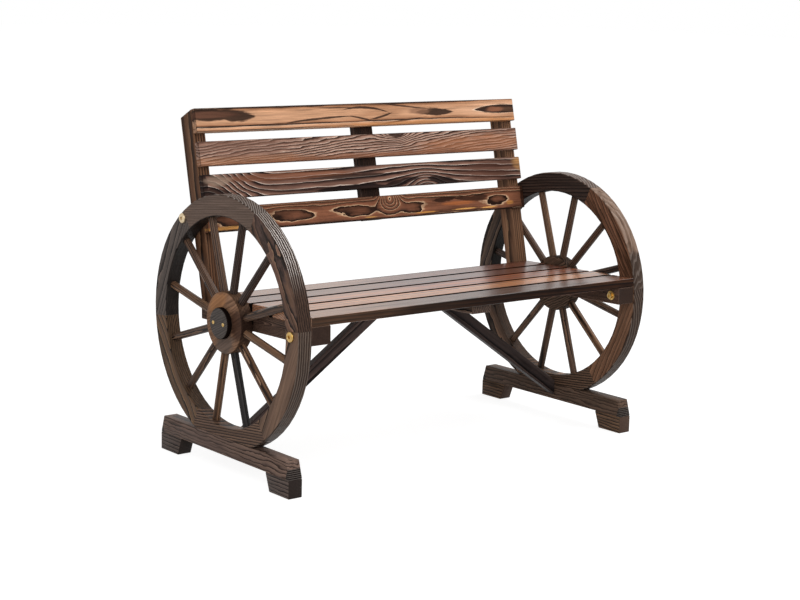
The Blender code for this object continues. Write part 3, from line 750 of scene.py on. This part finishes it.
# The soot share of each felloe is partly painted shade: highest at the top, where the inside faces down, and
# nil at the bottom, where it faces up.
FELLOES = {
    "left": [
        Felloe(("93735d", "76584b", "674e3f", "503e38", "261f1b"), pith=(0.004, 0.110), ring=0.0052,
               slant=0.06, wave=(0.8, 0.10, 0.030), lines=(0.14, 0.30),
               char=0.50, soot=0.5, ridges=0.75, tread="1c1512", lit=0.05),
        Felloe(("8d725d", "785f4f", "6b5446", "5a483d", "2e211a"), pith=(0.000, 0.120), ring=0.0060,
               slant=0.02, wave=(0.4, 0.16, 0.030), lines=(0.12, 0.20),
               char=0.05, soot=0.4, ridges=0.15, tread="1e1714"),
        Felloe(("987d69", "735a4b", "614c3f", "483831", "17110e"), pith=(-0.200, 0.010), ring=0.0060,
               slant=0.02, wave=(0.35, 0.22, 0.030), lines=(0.16, 0.34),
               char=0.10, soot=0.0, ridges=0.3),
        Felloe(("907358", "745943", "654e3f", "514031", "201611"), pith=(0.010, 0.100), ring=0.0052,
               slant=0.04, wave=(0.5, 0.12, 0.030), lines=(0.12, 0.22),
               char=0.10, soot=0.45, ridges=0.3),
        Felloe(("7b6c65", "5f554f", "574e49", "4b423e", "27211e"), pith=(0.020, 0.100), ring=0.0040,
               slant=0.02, wave=(0.4, 0.14, 0.030), lines=(0.12, 0.24),
               char=0.25, soot=0.78, ridges=0.3),
        Felloe(("766359", "6c5a50", "67564c", "604f46", "53443b"), pith=(-0.150, 0.120), ring=0.0036,
               slant=0.02, wave=(0.4, 0.16, 0.030), lines=(0.12, 0.20),
               char=0.10, soot=0.9, ridges=0.40)],
    "right": [
        # This felloe's pale tread is partly a painted highlight, and its lower end is painted shade.
        Felloe(("90694f", "7b5642", "704f3c", "604232", "3c281b"), pith=(-0.250, 0.120), ring=0.0080,
               slant=0.02, wave=(0.9, 0.16, 0.030), lines=(0.12, 0.30),
               char=0.80, soot=0.4, ridges=0.12, tread="7f6b5d", cover=0.8, past=0.058),
        Felloe(("856550", "7a5944", "725340", "664937", "493325"), pith=(-0.100, 0.120), ring=0.0060,
               slant=0.02, wave=(0.5, 0.16, 0.030), lines=(0.12, 0.20),
               char=0.05, soot=0.4, ridges=0.15, tread="1b1715", cover=0.8),
        Felloe(("886a56", "664e3f", "524134", "3f322a", "150e09"), pith=(-0.200, 0.010), ring=0.0060,
               slant=0.02, wave=(0.35, 0.22, 0.030), lines=(0.16, 0.34),
               char=0.25, soot=0.0, ridges=0.3),
        Felloe(("8b6c58", "685142", "594539", "43362e", "1a110d"), pith=(0.010, 0.100), ring=0.0052,
               slant=0.04, wave=(0.5, 0.12, 0.030), lines=(0.12, 0.22),
               char=0.10, soot=0.45, ridges=0.3),
        Felloe(("796253", "594a3f", "4e3f36", "3d322d", "150f0c"), pith=(0.020, 0.100), ring=0.0050,
               slant=0.02, wave=(0.4, 0.14, 0.030), lines=(0.12, 0.24),
               char=0.25, soot=0.95, ridges=0.3),
        Felloe(("554139", "43352f", "3a2f2a", "302623", "18110e"), pith=(-0.150, 0.120), ring=0.0056,
               slant=0.02, wave=(0.4, 0.16, 0.030), lines=(0.12, 0.30),
               char=0.15, soot=0.9, ridges=0.30, tread="5a483e")],
}
JOINT_ANGLE, FELLOE_ANGLE = math.radians(24.8), math.radians(60)


def from_axle(angle):
    """Direction in the wheel's plane, its angle measured from the top toward the front."""
    return Vector((0, -math.sin(angle), math.cos(angle)))


for number, (side, felloes) in enumerate(FELLOES.items()):
    axle = middle(f"{side}_wheel_hub")
    for index, felloe in enumerate(felloes):
        node = f"{side}_wheel_felloe_{index + 1}"
        angle = JOINT_ANGLE + FELLOE_ANGLE * (index + 0.5)
        outward = from_axle(angle)
        board = Board(axle + RIM_MIDDLE * outward, from_axle(angle + math.pi / 2), outward, None)
        grain = Grain(felloe.pith, felloe.ring, 200 + 60 * number + 7 * index, felloe.wave, felloe.lines,
                      slant=felloe.slant, char=felloe.char)
        paint(node, wood(node, board, felloe.tones, grain, rim_skin(felloe), relief=1.3))
    print(side, "wheel felloes:", len(felloes))

# %% [markdown]
# The spokes are turned dowels from one stock, torched by hand, so they range from tan to
# black. Four woods are enough, and a row of words says which spoke has which.

# %% Spokes
SPOKE_TONES = {
    "tan": ("9f7f67", "7c5d47", "6a4e39", "503a2c", "201711"),
    "brown": ("866955", "624b3c", "513d32", "3d2e26", "19110e"),
    "dark": ("665148", "473832", "3a2e27", "2a211e", "110d0b"),
    "black": ("433d3a", "2a2727", "22201f", "191817", "090808"),
}
SPOKE_WOODS = {
    "left": "dark dark brown tan tan black tan brown brown tan brown brown".split(),
    "right": "brown brown dark brown tan brown brown brown dark dark brown tan".split(),
}
FIRST_SPOKE, SPOKE_ANGLE = math.radians(12.3), math.radians(30)
SPOKE_MIDDLE = 0.151

for number, (side, woods) in enumerate(SPOKE_WOODS.items()):
    axle = middle(f"{side}_wheel_hub")
    for index, tone in enumerate(woods):
        node = f"{side}_wheel_spoke_{index + 1:02}"
        outward = from_axle(FIRST_SPOKE + SPOKE_ANGLE * index)
        board = Board(axle + SPOKE_MIDDLE * outward, outward, ALONG_SEAT, None)
        grain = Grain(pith=(0.020 + 0.002 * index, 0.02), ring=0.0036, seed=330 + 40 * number + 3 * index,
                      wave=(0.6, 0.14, 0.014), lines=(0.14, 0.30), slant=0.01, char=0.25)
        paint(node, wood(node, board, SPOKE_TONES[tone], grain, gloss=0.10, rough=0.36, relief=0.5))
    print(side, "wheel spokes:", len(woods))

# %% [markdown]
# The hub is a thick disc sawn from one board, with soft arched grain across its face and
# stains that the torch left, one of them a painted shadow on the left hub's front side. The
# cap is a small turned disc, charred grey on its face. The round sides of both discs are
# blackened as char and painted shade, the cap's most. Its distance from the middle tells a
# disc's side from its face.

# %% Hubs and caps
HUB_TONES = {"left": ("8f6e55", "886750", "82624d", "7a5b46", "6a4e3c"),
             "right": ("90735f", "735949", "5f4d3f", "4a3b31", "211811")}
# The first left stain, dark on the front side of the hub, is a painted shadow; the others are stains.
HUB_STAINS_AND_SHADE = {"left": ((0.047, 0.029, 0.034, 0.034, "38241d", 0.85),
                       (-0.0265, 0.046, 0.040, 0.024, "5a4e47", 0.8),
                       (0.002, -0.045, 0.036, 0.020, "a4734c", 0.75)),
              "right": ((0.0, -0.040, 0.060, 0.040, "3c2a21", 0.6),)}
CAP_TONES = ("5e5652", "57504c", "524b48", "4a4441", "3c3734")
HUB_RADIUS, CAP_RADIUS = 0.069, 0.035
HUB_LIE = from_axle(math.radians(58))
DISC_SOOT_AND_SHADE = "0a0807"


def disc_skin(radius, soot):
    """A skin that blackens the round side of a disc, as char and painted shade."""
    def skin(surface, colour, coat):
        reach = (surface.along ** 2 + surface.across ** 2) ** 0.5
        # The side is blackened partly as char and partly as painted shade.
        side = surface.finish.step(reach, radius - 0.0022, radius - 0.0004)
        return surface.finish.mix(side * soot, colour, card(DISC_SOOT_AND_SHADE)), coat, side * soot
    return skin


def paint_disc(node, tones, stains_and_shade, ring, seed, skin):
    """Paint a disc whose board lies across the wheel."""
    board = Board(middle(node), HUB_LIE, ALONG_SEAT.cross(HUB_LIE), None)
    grain = Grain(pith=(-0.06, 0.05), ring=ring, seed=seed, slant=0.12, wave=(1.0, 0.08, 0.030),
                  lines=(0.10, 0.30), washes=stains_and_shade, char=0.30)
    paint(node, wood(node, board, tones, grain, skin, rough=0.48))


for number, side in enumerate(SIDES):
    paint_disc(f"{side}_wheel_hub", HUB_TONES[side], HUB_STAINS_AND_SHADE[side], ring=0.0062,
               seed=420 + 30 * number, skin=disc_skin(HUB_RADIUS, soot=0.45))
    paint_disc(f"{side}_hub_cap", CAP_TONES, (), ring=0.0040,
               seed=430 + 30 * number, skin=disc_skin(CAP_RADIUS, soot=0.95))
print("hubs and caps:", len(SIDES), "of each")

# %% [markdown]
# Each sill is a beam on two foot blocks, and the joint between them shows as a fine line.
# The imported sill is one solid, so three new pieces stand for it. Plain boxes would miss
# the sloping ends of the beam and the splay of the blocks, so a few corners are drawn as
# an outline, extruded to the rim's thickness, and rounded along every edge.

# %% New pieces and sawn blocks
SHARPER_THAN = math.radians(35)
ROUND_EDGE = 0.0016


def add_piece(name, shape, material, smooth=True):
    """Turn a bmesh into a piece that rides on the bench."""
    bmesh.ops.recalc_face_normals(shape, faces=shape.faces)
    mesh = bpy.data.meshes.new(name)
    shape.to_mesh(mesh)
    shape.free()
    mesh.materials.append(material)
    if smooth:
        mesh.shade_smooth()
        mesh.set_sharp_from_angle(angle=SHARPER_THAN)
    piece = bpy.data.objects.new(name, mesh)
    bpy.context.scene.collection.objects.link(piece)
    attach(piece, "root")
    return piece


def sawn_block(outline, low_x, high_x):
    """An outline in (y, z), extruded along X, with rounded edges."""
    shape = bmesh.new()
    face = shape.faces.new([shape.verts.new((low_x, y, z)) for y, z in outline])
    grown = bmesh.ops.extrude_face_region(shape, geom=[face])
    moved = [item for item in grown["geom"] if isinstance(item, bmesh.types.BMVert)]
    bmesh.ops.translate(shape, vec=(high_x - low_x, 0, 0), verts=moved)
    bmesh.ops.recalc_face_normals(shape, faces=shape.faces)
    bmesh.ops.bevel(shape, geom=shape.edges[:], offset=ROUND_EDGE, offset_type="OFFSET", affect="EDGES",
                    segments=2, profile=0.5, material=-1)
    return shape


print("block edges are rounded by", ROUND_EDGE * 1000, "mm")

# %% [markdown]
# The rings lie flat in the beam, so its torched ends show them as a stack of fine ridges.
# The foot blocks are cut from other boards, and their ends follow the splay. The ends of
# the beam and of the blocks, the rear block's splayed inner face too, are darkened partly by
# the torch and partly as painted shade.

# %% Sills
SILL_HALF_LENGTH, SILL_TOP, FOOT_TOP, SEAM = 0.253, 0.0805, 0.0405, 0.0002
END_SLANT, FOOT_LENGTH_BELOW, FOOT_LENGTH_ABOVE = 0.012, 0.072, 0.087
BEAM_FOOT, BEAM_BACK = (SILL_HALF_LENGTH, FOOT_TOP + SEAM), (SILL_HALF_LENGTH - END_SLANT, SILL_TOP)
BEAM = [(-BEAM_FOOT[0], BEAM_FOOT[1]), BEAM_FOOT, BEAM_BACK, (-BEAM_BACK[0], BEAM_BACK[1])]
FOOT = [(-SILL_HALF_LENGTH, 0.0), (FOOT_LENGTH_BELOW - SILL_HALF_LENGTH, 0.0),
        (FOOT_LENGTH_ABOVE - SILL_HALF_LENGTH, FOOT_TOP), (-SILL_HALF_LENGTH, FOOT_TOP)]
BEAM_MIDDLE = (SILL_TOP + FOOT_TOP) / 2
FOOT_HALF = (FOOT_LENGTH_ABOVE + FOOT_LENGTH_BELOW) / 4
FOOT_SPLAY = (FOOT_LENGTH_ABOVE - FOOT_LENGTH_BELOW) / (2 * FOOT_TOP)
BEAM_TONES = {"left": ("856e61", "745e53", "6a574d", "5c4b45", "382c26"),
              "right": ("6d5749", "5f4c40", "56453a", "4a3c33", "32261f")}
FOOT_TONES = {"left": ("7a6b61", "5e524c", "564a45", "473e3c", "221c1a"),
              "right": ("957352", "6b5242", "5a483a", "463931", "1a1411")}
# The end tones of the sills are partly char and partly painted shade.
BEAM_END_CHAR_AND_SHADE, FOOT_ENDS_CHAR_AND_SHADE = "120d0b", {"left": "2a2320", "right": "4b3b33"}
BEAM_RIDGES, FOOT_RUBBED = 0.0040, 0.2


def beam_wood(side, number, centre, half_width):
    """The wood of a sill's beam."""
    half = (SILL_HALF_LENGTH - END_SLANT / 2, half_width, (SILL_TOP - FOOT_TOP) / 2)
    board = Board(centre, TO_THE_REAR, ALONG_SEAT, None)
    grain = Grain(pith=(0.02, 0.14), ring=0.0082, seed=500 + 20 * number, wave=(1.2, 0.14, 0.030),
                  lines=(0.12, 0.34), char=0.4)
    edges = board_edges(half, BEAM_TONES[side][0], RUBBED, ends=BEAM_END_CHAR_AND_SHADE,
                        slope=END_SLANT / (2 * half[2]), ridges=BEAM_RIDGES)
    return wood(f"{side}_sill_beam", board, BEAM_TONES[side], grain, edges, relief=1.3)


def foot_wood(side, number, end, flip, centre, half_width):
    """The wood of a foot block, whose splay flip turns to the front or to the rear."""
    heart = Vector((centre.x, flip * (FOOT_HALF - SILL_HALF_LENGTH), FOOT_TOP / 2))
    board = Board(heart, TO_THE_REAR, ALONG_SEAT, None)
    grain = Grain(pith=(0.04, 0.09), ring=0.0068, seed=510 + 20 * number + flip, slant=0.04,
                  wave=(0.8, 0.14, 0.030), lines=(0.14, 0.30), char=0.4)
    edges = board_edges((FOOT_HALF, half_width, FOOT_TOP / 2), FOOT_TONES[side][0], FOOT_RUBBED,
                        ends=FOOT_ENDS_CHAR_AND_SHADE[side], slope=FOOT_SPLAY, lean=FOOT_SPLAY * flip)
    return wood(f"{side}_{end}_foot", board, FOOT_TONES[side], grain, edges)


for number, side in enumerate(SIDES):
    low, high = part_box(f"{side}_sill")
    centre, half_width = Vector(((low.x + high.x) / 2, 0, BEAM_MIDDLE)), (high.x - low.x) / 2
    material = beam_wood(side, number, centre, half_width)
    beam = add_piece(f"{side}_sill_beam", sawn_block(BEAM, low.x, high.x), material)
    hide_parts(f"{side}_sill")
    for end, flip in (("front", 1), ("rear", -1)):
        material = foot_wood(side, number, end, flip, centre, half_width)
        block = sawn_block([(flip * y, z) for y, z in FOOT], low.x, high.x)
        foot = add_piece(f"{side}_{end}_foot_block", block, material)
        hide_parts(f"{side}_sill")
    print(side, "sill:", beam.name, "and two foot blocks")

# %% [markdown]
# The hardware is plated steel, in a golden zinc and a paler one. Noise mottles its colour
# and its gloss, so that it looks handled, and finer noise scratches it.

# %% Plated steel
MOTTLE_SIZE, MOTTLE_LIMITS, MOTTLE_ROUGH = (0.004, 0.004, 0.004), (0.4, 0.7), 0.2
SCRATCH_SIZE, SCRATCH_STRENGTH, SCRATCH_DEPTH = (0.0006, 0.006, 0.0006), 0.3, 0.0002


def metal(name, tone, worn, rough):
    """A plated steel with faint mottling and fine scratches."""
    finish = Finish(bpy.data.materials.new(name))
    place = finish.node("TexCoord", give="Object")
    mottle = finish.cloud(place, MOTTLE_SIZE, 3, FINE_DETAIL)
    scratch = finish.cloud(place, SCRATCH_SIZE, 5)
    colour = finish.mix(finish.step(mottle, *MOTTLE_LIMITS), card(tone), card(worn))
    bump = finish.node("Bump", {}, {
        "Strength": SCRATCH_STRENGTH, "Distance": SCRATCH_DEPTH, "Height": scratch})
    shader = finish.node("BsdfPrincipled", {}, {
        "Base Color": colour, "Metallic": 1.0, "Roughness": mottle * MOTTLE_ROUGH + rough, "Normal": bump})
    finish.node("OutputMaterial", {}, {"Surface": shader})
    return finish.owner


GOLDEN = metal("yellow_zinc", "b8924e", "d9bd84", rough=0.22)
PALE = metal("pale_zinc", "c9b391", "e2d2b4", rough=0.30)
print("platings:", GOLDEN.name, "and", PALE.name)

# %% [markdown]
# Heads, washers, nuts and screws are all low discs, so one helper makes a disc with a
# rounded rim, and another insets its top face and presses it down for the drive or the
# thread. They are made upright at the origin and then laid on the place that they fasten.

# %% Turned discs
def raised_disc(radius, height, sides, edge, segments):
    """A low disc standing on z = 0 with its upper rim rounded."""
    shape = bmesh.new()
    bmesh.ops.create_cone(shape, cap_ends=True, segments=sides, radius1=radius, radius2=radius, depth=height,
                          matrix=Matrix.Translation((0, 0, height / 2)))
    rim = [e for e in shape.edges if all(v.co.z > height * 0.9 for v in e.verts)]
    bmesh.ops.bevel(shape, geom=rim, offset=edge, offset_type="OFFSET", affect="EDGES", segments=segments,
                    profile=0.5, material=-1)
    return shape


def sink(shape, inset, depth, shaper=None):
    """Inset the top face, shape its outline, and press it down."""
    face = max(shape.faces, key=lambda side: side.calc_center_median().z)
    bmesh.ops.inset_region(shape, faces=[face], thickness=inset, use_even_offset=True)
    if shaper:
        for vertex in face.verts:
            vertex.co = shaper(vertex.co)
    pressed = bmesh.ops.extrude_discrete_faces(shape, faces=[face])["faces"][0]
    bmesh.ops.translate(shape, vec=(0, 0, -depth), verts=pressed.verts)
    return shape


def hexagon(across_flats):
    """Return a shaper that moves the points of a round outline onto a hexagon."""
    def shaper(point):
        angle = math.atan2(point.y, point.x) % math.radians(60) - math.radians(30)
        reach = across_flats / 2 / math.cos(angle)
        flat = Vector((point.x, point.y, 0)).normalized() * reach
        return Vector((flat.x, flat.y, point.z))
    return shaper


def lay_on(shape, place, outward):
    """Move a shape made along +Z so that it stands on a place and points outward."""
    turn = Vector((0, 0, 1)).rotation_difference(Vector(outward)).to_matrix().to_4x4()
    bmesh.ops.transform(shape, matrix=Matrix.Translation(place) @ turn, verts=shape.verts)
    return shape


print("disc helpers: raised_disc, sink, hexagon and lay_on")

# %% [markdown]
# Two bolts hold each wheel: one through the rail's front end, one through the post. Their
# round heads with a hexagon socket lie on the rim, and a washer and a nut sit inside. Two
# small screws hold each cap.

# %% Bolts and cap screws
BOLTS = {"front": ((-0.2525, 0.3492), 0.430, GOLDEN), "rear": ((0.1627, 0.5482), 0.448, PALE)}
RIM_FACE_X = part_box("right_wheel_felloe_1")[1].x
AXLE_Z = middle("left_wheel_hub").z
SCREW_PLACES = {"front": -0.019, "rear": 0.019}
HEAD = dict(radius=0.0112, height=0.0046, sides=36, edge=0.0022, segments=3)
SOCKET, SOCKET_FLATS = dict(inset=0.0040, depth=0.0030), 0.0074
WASHER = dict(radius=0.0112, height=0.0016, sides=36, edge=0.0004, segments=2)
NUT = dict(radius=0.0075, height=0.0066, sides=6, edge=0.0006, segments=2)
NUT_BORE = dict(inset=0.0034, depth=0.0010)
SCREW = dict(radius=0.0042, height=0.0011, sides=24, edge=0.0006, segments=2)
SCREW_DRIVE = dict(inset=0.0022, depth=0.0007)


def add_bolt(side, sign, end):
    """Add a bolt's head on the rim, and its washer and nut on the inner side of the frame."""
    (y, z), frame_inner, plating = BOLTS[end]
    outward, inner_x = Vector((sign, 0, 0)), sign * frame_inner
    head = lay_on(sink(raised_disc(**HEAD), **SOCKET, shaper=hexagon(SOCKET_FLATS)),
                  (sign * RIM_FACE_X, y, z), outward)
    add_piece(f"{side}_{end}_bolt", head, plating)
    washer = lay_on(raised_disc(**WASHER), (inner_x, y, z), -outward)
    add_piece(f"{side}_{end}_washer", washer, GOLDEN)
    nut = lay_on(sink(raised_disc(**NUT), **NUT_BORE), (inner_x - sign * WASHER["height"], y, z), -outward)
    add_piece(f"{side}_{end}_nut", nut, GOLDEN, smooth=False)


for side, sign in SIDES.items():
    for end in BOLTS:
        add_bolt(side, sign, end)
    low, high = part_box(f"{side}_hub_cap")
    face_x = high.x if sign > 0 else low.x
    for end, y in SCREW_PLACES.items():
        screw = lay_on(sink(raised_disc(**SCREW), **SCREW_DRIVE), (face_x, y, AXLE_Z), (sign, 0, 0))
        add_piece(f"{side}_{end}_cap_screw", screw, GOLDEN)
    print(side, "wheel bolts:", len(BOLTS), "cap screws:", len(SCREW_PLACES))
